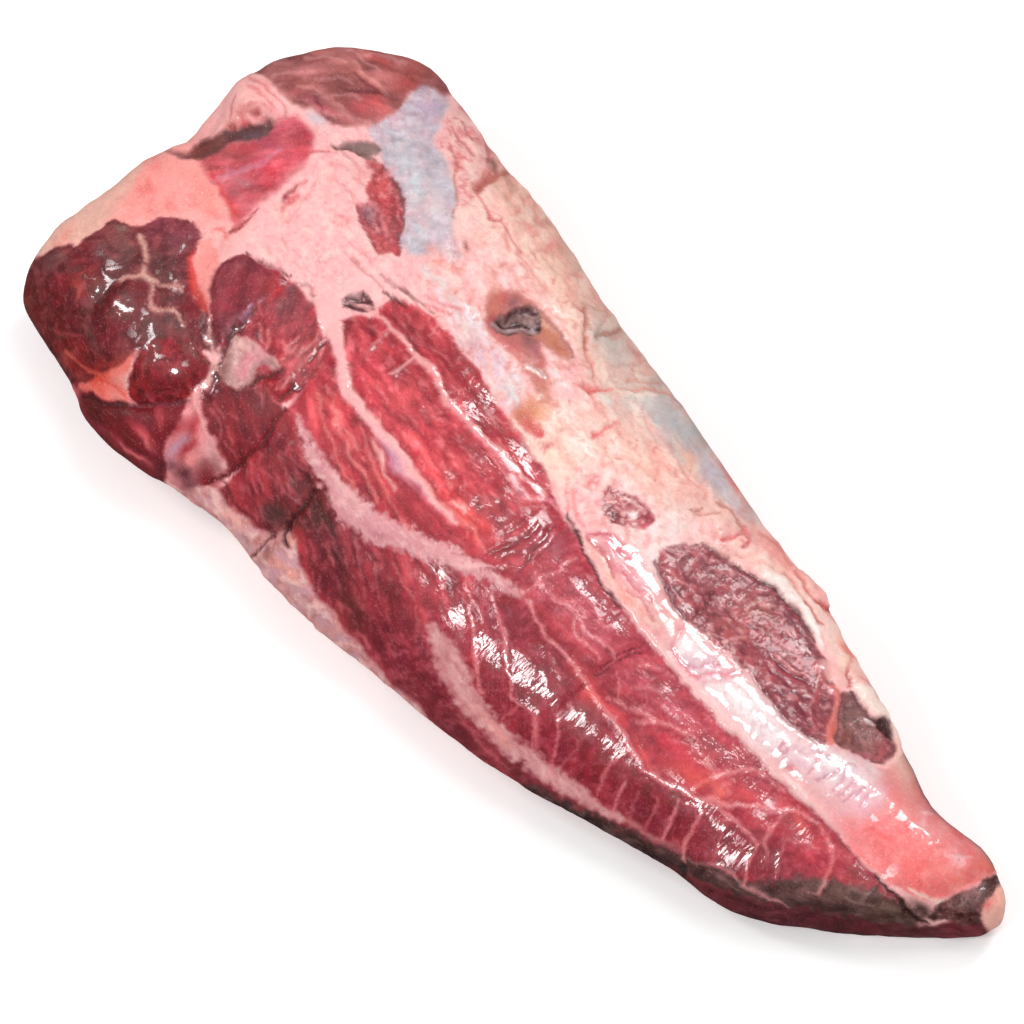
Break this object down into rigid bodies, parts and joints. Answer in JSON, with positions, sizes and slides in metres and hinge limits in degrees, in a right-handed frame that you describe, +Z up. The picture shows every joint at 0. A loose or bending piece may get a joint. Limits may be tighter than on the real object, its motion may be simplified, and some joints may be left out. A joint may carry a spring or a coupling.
{
  "type": "raw beef chuck tender",
  "caption": "Whole raw beef chuck tender: a tapered muscle with seams, fat and silverskin on top, blunt and lobed at its thick end, lying on its flat side.",
  "frame": {"origin": "on the surface the piece lies on, under the middle of its length and width", "axes": "+X along the piece from the thick end to the tip, +Y from the near edge to the far edge, +Z up"},
  "size_m": [0.3264, 0.1448, 0.0622],
  "materials": {
    "raw_beef": "moist, glossy"
  },
  "bodies": {
    "root": {"chuck_tender": "raw_beef"}
  },
  "joints": []
}
